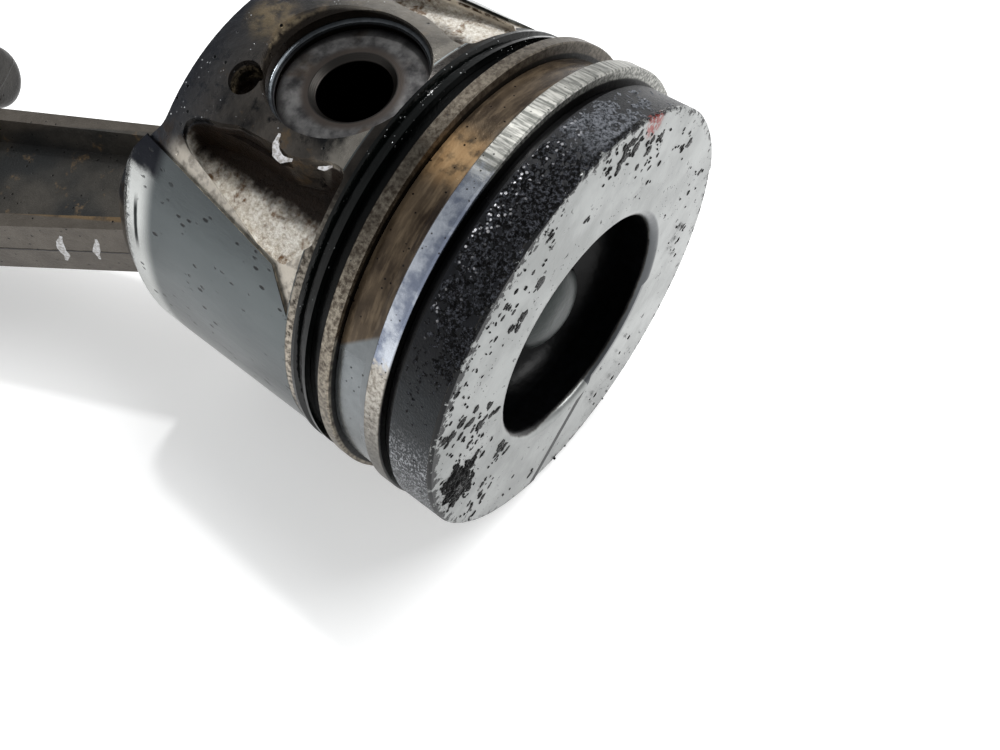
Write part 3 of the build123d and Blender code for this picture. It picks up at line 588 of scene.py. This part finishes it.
def marking_paint():
    """Thin white marker paint, rubbed and greasy."""
    p = Paint("marker_paint_white")
    rub = p.noise(0.8, 5, 0.65)
    colour = p.mix(p.step(rub, 0.42, 0.6), shade(206, 206, 208), shade(150, 146, 142))
    return p.done(colour, p.level(rub, 0.3, 0.5), 0.0, p.times(rub, 0.08))


carbon_black = carbon()
ring_material = ring_face()
oil_material = oily_black()
wire_material = wire()
forged_material = forged_steel()
shell_material = plain_metal(
    "bearing_metal_used", shade(120, 120, 122), shade(176, 176, 178), 5, 0.2, 0.36
)
bush_material = plain_metal(
    "bush_bronze_used", shade(120, 92, 56), shade(176, 142, 92), 4, 0.24, 0.4
)
finishes = dict(
    piston_body=piston_alloy(),
    ring_carrier=carrier(),
    top_compression_ring=ring_material,
    second_compression_ring=ring_material,
    oil_control_ring=oil_material,
    oil_ring_expander=oil_material,
    gudgeon_pin=pin_steel(),
    front_circlip=wire_material,
    rear_circlip=wire_material,
    connecting_rod=forged_material,
    big_end_cap=forged_material,
    small_end_bush=bush_material,
    upper_bearing_shell=shell_material,
    lower_bearing_shell=shell_material,
    big_end_bolts=bolt_steel(),
)
for name, finish in finishes.items():
    slots = frame["nodes"][name].data.materials
    for index in range(len(slots)):
        slots[index] = finish


# -------------------------------------------------------------- carbon detail
def fbm(x, y, z, octaves=4):
    """Fractal noise of about -1 to 1 at a point given in feature widths."""
    return noise.fractal(Vector((x, y, z)), 0.55, 2.1, octaves)


def piece(name, points, faces, material, body):
    """A smooth mesh of row-frame points, riding on a body."""
    mesh = bpy.data.meshes.new(name)
    mesh.from_pydata(points, [], faces)
    mesh.materials.append(material)
    mesh.shade_smooth()
    made = bpy.data.objects.new(name, mesh)
    bpy.context.scene.collection.objects.link(made)
    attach(made, body)
    return made


def crust(name, columns, rows, place, height, material, closed=False):
    """A sheet over the piston, shown only where its height is above the surface."""
    heights = [[height(u / columns, v / rows) for v in range(rows + 1)] for u in range(columns + 1)]
    if closed:
        heights[columns] = heights[0]
    points, faces, index = [], [], {}

    def corner(u, v):
        if closed:
            u %= columns
        if (u, v) not in index:
            index[u, v] = len(points)
            points.append(place(u / columns, v / rows, heights[u][v]))
        return index[u, v]

    for u in range(columns):
        for v in range(rows):
            around = ((u, v), (u + 1, v), (u + 1, v + 1), (u, v + 1))
            if max(heights[a][b] for a, b in around) > 0:
                faces.append([corner(a, b) for a, b in around])
    return piece(name, points, faces, material, "piston")


def land_place(u, v, rise):
    angle = 2 * math.pi * u
    radius = CROWN_R + rise
    height = LAND_BASE_Z + 0.15 + v * (CROWN_Z - LAND_BASE_Z - 0.2)
    return at(radius * math.cos(angle), radius * math.sin(angle), height)


def land_height(u, v):
    """Lumpy towards the front boss, bare and scratched on the near thrust side."""
    degrees = 360 * u
    x, y = CROWN_R * math.cos(2 * math.pi * u), CROWN_R * math.sin(2 * math.pi * u)
    z = LAND_HEIGHT * v
    lumps = fbm(x / 1.1, y / 1.1, z / 1.1, 4)
    drift = fbm(x / 8 + 5, y / 8, z / 8, 3)
    from_front = abs((degrees - 98 + 180) % 360 - 180)  # heaviest at 98 degrees
    heavy = max(0.0, 1.0 - max(0.0, from_front - 22) / 30)
    fade = min(1.0, v * 4, (1 - v) * 7)  # thin towards both edges of the land
    return (0.36 * lumps + 0.2 * drift + 0.5 * heavy - 0.3) * fade - 0.02


crust("top_land_crust", 1200, 40, land_place, land_height, carbon_black, closed=True)

rng = random.Random(86)


def flake(points, faces, x, y, size, tall, lean):
    """Add one irregular flake of carbon to a mesh, on the crown's face."""
    sides = 10
    seed = rng.uniform(0, 100)
    rings = ((0.55, 0.8), (1.0, -0.25))  # share of the size, share of the height
    centre = len(points)
    points.append(at(x, y, CROWN_Z + tall))
    stretch = rng.uniform(0.45, 1.0)
    for ring, (reach, rise) in enumerate(rings):
        for side in range(sides):
            angle = 2 * math.pi * side / sides
            place = Vector((math.cos(angle) * 1.6 + seed, math.sin(angle) * 1.6, ring))
            wave = 1 + 0.8 * noise.noise(place)
            along = math.cos(angle) * size * reach * wave
            across = math.sin(angle) * size * reach * wave * stretch
            dx = along * math.cos(lean) - across * math.sin(lean)
            dy = along * math.sin(lean) + across * math.cos(lean)
            bumpy = rise * tall * (1 + 0.5 * noise.noise(Vector((dx * 3 + seed, dy * 3, 1))))
            points.append(at(x + dx, y + dy, CROWN_Z + bumpy))
    for side in range(sides):
        inner, after = centre + 1 + side, centre + 1 + (side + 1) % sides
        faces.append((centre, inner, after))
        faces.append((inner, inner + sides, after + sides, after))


# Clusters of flakes: angle and radius of the middle, spread, how many, size
CLUSTERS = (
    (100, 39.0, 5.0, 24, 0.40),
    (118, 38.5, 6.0, 40, 0.45),
    (135, 39.0, 5.0, 26, 0.40),
    (120, 30.2, 1.8, 6, 0.60),
    (76, 38.5, 3.0, 22, 0.75),
    (67, 38.5, 3.5, 28, 0.75),
    (58, 37.5, 2.5, 12, 0.60),
    (50, 35.0, 8.0, 16, 0.45),
    (35, 38.5, 4.0, 20, 0.70),
    (5, 36.0, 6.0, 18, 0.55),
    (-15, 34.0, 4.0, 10, 0.60),
    (152, 37.0, 4.0, 28, 0.65),
    (158, 30.5, 3.5, 20, 0.80),
    (170, 34.0, 5.0, 30, 0.65),
    (192, 26.5, 1.8, 16, 0.90),
    (196, 34.0, 5.0, 16, 0.65),
    (200, 39.5, 2.5, 16, 0.80),
    (222, 39.5, 3.0, 10, 0.80),
    (-75, 36.0, 8.0, 14, 0.45),
)
# Single large flakes: place on the crown and half length
LARGE_FLAKES = (
    (2.5, 31.9, 1.0),
    (-9.3, 29.9, 1.3),
    (-14.0, 26.6, 1.2),
    (-17.2, 27.1, 0.9),
    (-30.3, 26.8, 1.0),
    (-25.2, 13.2, 1.1),
    (-26.9, 11.3, 0.9),
    (-25.8, -4.6, 1.4),
    (-24.6, -8.4, 1.1),
    (-33.9, 17.8, 1.2),
    (-21.0, -31.6, 1.2),
    (-33.3, -15.1, 1.0),
    (11.2, 35.9, 1.2),
    (15.6, 35.2, 1.0),
    (-5.8, 37.6, 1.0),
    (30.0, 20.5, 0.9),
    (19.1, 22.7, 0.6),
)
flake_points, flake_faces = [], []


def flake_at(x, y, width, clear):
    """Add a flake where it lies wholly between the bowl and the crown's edge."""
    if BOWL_R + width < math.hypot(x, y) < CROWN_R - clear - width:
        tall, lean = rng.uniform(0.06, 0.2), rng.uniform(-0.3, 0.5)
        flake(flake_points, flake_faces, x, y, width, tall, lean)


for angle, radius, spread, count, size in CLUSTERS:
    for _ in range(count):
        x = radius * math.cos(math.radians(angle)) + rng.gauss(0, spread * 0.6)
        y = radius * math.sin(math.radians(angle)) + rng.gauss(0, spread * 0.6)
        width = size * 0.4 * min(4.0, rng.paretovariate(1.4))
        flake_at(x, y, width, 0.5 if 60 < angle < 205 else 3.0)
for x, y, width in LARGE_FLAKES:
    flake_at(x, y, width, 0.5)
    flake_at(x + rng.uniform(-1, 1), y + rng.uniform(-1, 1), width * 0.5, 0.5)
piece("crown_flakes", flake_points, flake_faces, carbon_black, "piston")

PATCH = (-36.4, 1.0, 8.5)  # thick carbon by the crown's near edge: x, y, half width


def patch_place(u, v, rise):
    x = PATCH[0] + (2 * u - 1) * PATCH[2]
    y = PATCH[1] + (2 * v - 1) * PATCH[2]
    inside = min(1.0, (CROWN_R - 0.5) / max(math.hypot(x, y), 1e-6))
    return at(x * inside, y * inside, CROWN_Z + rise)


def patch_height(u, v):
    x, y = (2 * u - 1) * PATCH[2], (2 * v - 1) * PATCH[2]
    edge = 1 - math.hypot(x / 0.62, y / 0.95) / (PATCH[2] * 0.78)
    beyond = CROWN_R - 0.6 - math.hypot(PATCH[0] + x, PATCH[1] + y)
    lumps = fbm(x / 0.9, y / 0.9, 7.0, 5)
    rise = 0.26 * lumps + 0.62 * edge + 0.3 * fbm(x / 3, y / 3, 2.0, 3)
    return min(rise, 0.55) if beyond > 0 else -0.05


crust("crown_carbon_patch", 110, 110, patch_place, patch_height, carbon_black)


def dab(name, path, surface, width, body):
    """A brushed stroke of paint: a ragged strip along a path on a surface."""
    stops = 3
    steps = stops * (len(path) - 1)
    points, faces = [], []
    for index in range(steps + 1):
        part, share = divmod(index / stops, 1)
        part = int(part)
        before, start = Vector(path[max(part - 1, 0)]), Vector(path[part])
        end = Vector(path[min(part + 1, len(path) - 1)])
        spot = start.lerp(end, share)
        along = (end - before).normalized()
        side = Vector((-along.y, along.x))
        ends = min(1.0, 0.35 + index / 6, 0.35 + (steps - index) / 6)
        for edge in (-1, 0, 1):
            ragged = 1 + 0.5 * noise.noise(Vector((index * 0.45, edge * 7, len(path))))
            off = side * edge * width * ends * ragged
            points.append(surface(spot.x + off.x, spot.y + off.y, 0.05 if edge == 0 else 0.01))
    for index in range(steps):
        for edge in range(2):
            corner = 3 * index + edge
            faces.append((corner, corner + 1, corner + 4, corner + 3))
    return piece(name, points, faces, marker, body)


def on_boss(x, z, rise):
    """A point on the front boss side, from its place across and up the cylinder."""
    return at(x, math.sqrt((BOSS_R + rise) ** 2 - x * x), z)


def on_flange(y, z, rise):
    """A point on the rod's near flange, from its place across and along the rod."""
    x = -(FLANGE_X - FLANGE_TAPER * z) - rise + abs(y) * math.tan(FLANGE_DRAFT)
    return rod_frame @ (Vector((x, y, z)) * MM)


marker = marking_paint()
BOSS_DAB = ((-17.2, 3.4), (-17.9, 1.6), (-17.6, 0.0), (-16.4, -1.0), (-14.9, -1.2))
BOSS_DAB_THIN = ((-16.2, 8.2), (-15.8, 9.4), (-15.0, 10.4))
ROD_DAB = ((5.2, -68.0), (3.0, -69.6), (0.6, -70.6), (-2.0, -71.0), (-4.0, -72.4))
ROD_DAB_THIN = ((4.6, -60.6), (2.2, -61.6), (-0.2, -63.2), (-3.0, -64.0))
dab("boss_dab", BOSS_DAB, on_boss, 0.65, "piston")
dab("boss_dab_thin", BOSS_DAB_THIN, on_boss, 0.45, "piston")
dab("rod_dab", ROD_DAB, on_flange, 0.8, "connecting_rod")
dab("rod_dab_thin", ROD_DAB_THIN, on_flange, 0.7, "connecting_rod")

# ------------------------------------------------------ floor, lights, camera
floor_paint = Paint("floor_pale", Matrix.Identity(4))
grain = floor_paint.noise(40, 4, 0.5)
floor_material = floor_paint.done(
    floor_paint.mix(grain, (0.80, 0.80, 0.80, 1), (0.86, 0.86, 0.86, 1)), 0.6, 0.0
)
# Painted light: the floor glows by itself, which keeps the shadow soft and pale
floor_paint.shader.inputs["Emission Color"].default_value = (1.0, 1.0, 0.99, 1)
floor_paint.shader.inputs["Emission Strength"].default_value = 0.4
bpy.ops.mesh.primitive_plane_add(size=4, location=(0, 0, 0))
floor = bpy.context.object
floor.name = "floor"
floor.data.materials.append(floor_material)

world = bpy.data.worlds.new("studio")
bpy.context.scene.world = world
world.use_nodes = True
sky = world.node_tree
direction = sky.nodes.new("ShaderNodeTexCoord")
upward = sky.nodes.new("ShaderNodeSeparateXYZ")
tone = sky.nodes.new("ShaderNodeValToRGB")
tone.color_ramp.elements[0].position = 0.05
tone.color_ramp.elements[0].color = (1.0, 1.0, 1.0, 1)
tone.color_ramp.elements[1].position = 0.8
tone.color_ramp.elements[1].color = (0.3, 0.31, 0.32, 1)
sky.links.new(direction.outputs["Generated"], upward.inputs["Vector"])
sky.links.new(upward.outputs["Z"], tone.inputs["Fac"])
sky.links.new(tone.outputs["Color"], sky.nodes["Background"].inputs["Color"])
sky.nodes["Background"].inputs["Strength"].default_value = 0.95


def softbox(name, direction, distance, size, power):
    """An area light that faces the piston."""
    data = bpy.data.lights.new(name, "AREA")
    data.shape = "RECTANGLE"
    data.size, data.size_y = size
    data.energy = power
    lamp = bpy.data.objects.new(name, data)
    bpy.context.scene.collection.objects.link(lamp)
    towards = Vector(direction).normalized()
    lamp.location = pin_centre + towards * distance
    lamp.rotation_mode = "QUATERNION"
    lamp.rotation_quaternion = towards.to_track_quat("Z", "Y")


softbox("key", (0.2, 0.55, 1.0), 1.2, (1.0, 0.8), 13)
softbox("glint", (-0.25, 0.3, 0.9), 1.0, (0.06, 0.06), 3.0)

camera_data = bpy.data.cameras.new("camera")
camera_data.lens = 31.53
camera_data.sensor_width = 36
camera_data.clip_start = 0.005
camera = bpy.data.objects.new("camera", camera_data)
bpy.context.scene.collection.objects.link(camera)
# Fitted to the photograph: the picture's axes and the camera's place, in the engine frame
right = Vector((0.6129, -0.1177, 0.7814))
down = Vector((-0.7427, -0.4234, 0.5187))
look = Vector((0.2698, -0.8982, -0.3469))
camera_place = Vector((-58.75, 142.52, 92.70)) * MM
aim = Matrix((right, -down, -look)).transposed().to_4x4()
camera.matrix_world = engine @ Matrix.Translation(camera_place) @ aim
bpy.context.scene.camera = camera
bpy.context.scene.view_settings.view_transform = "Standard"
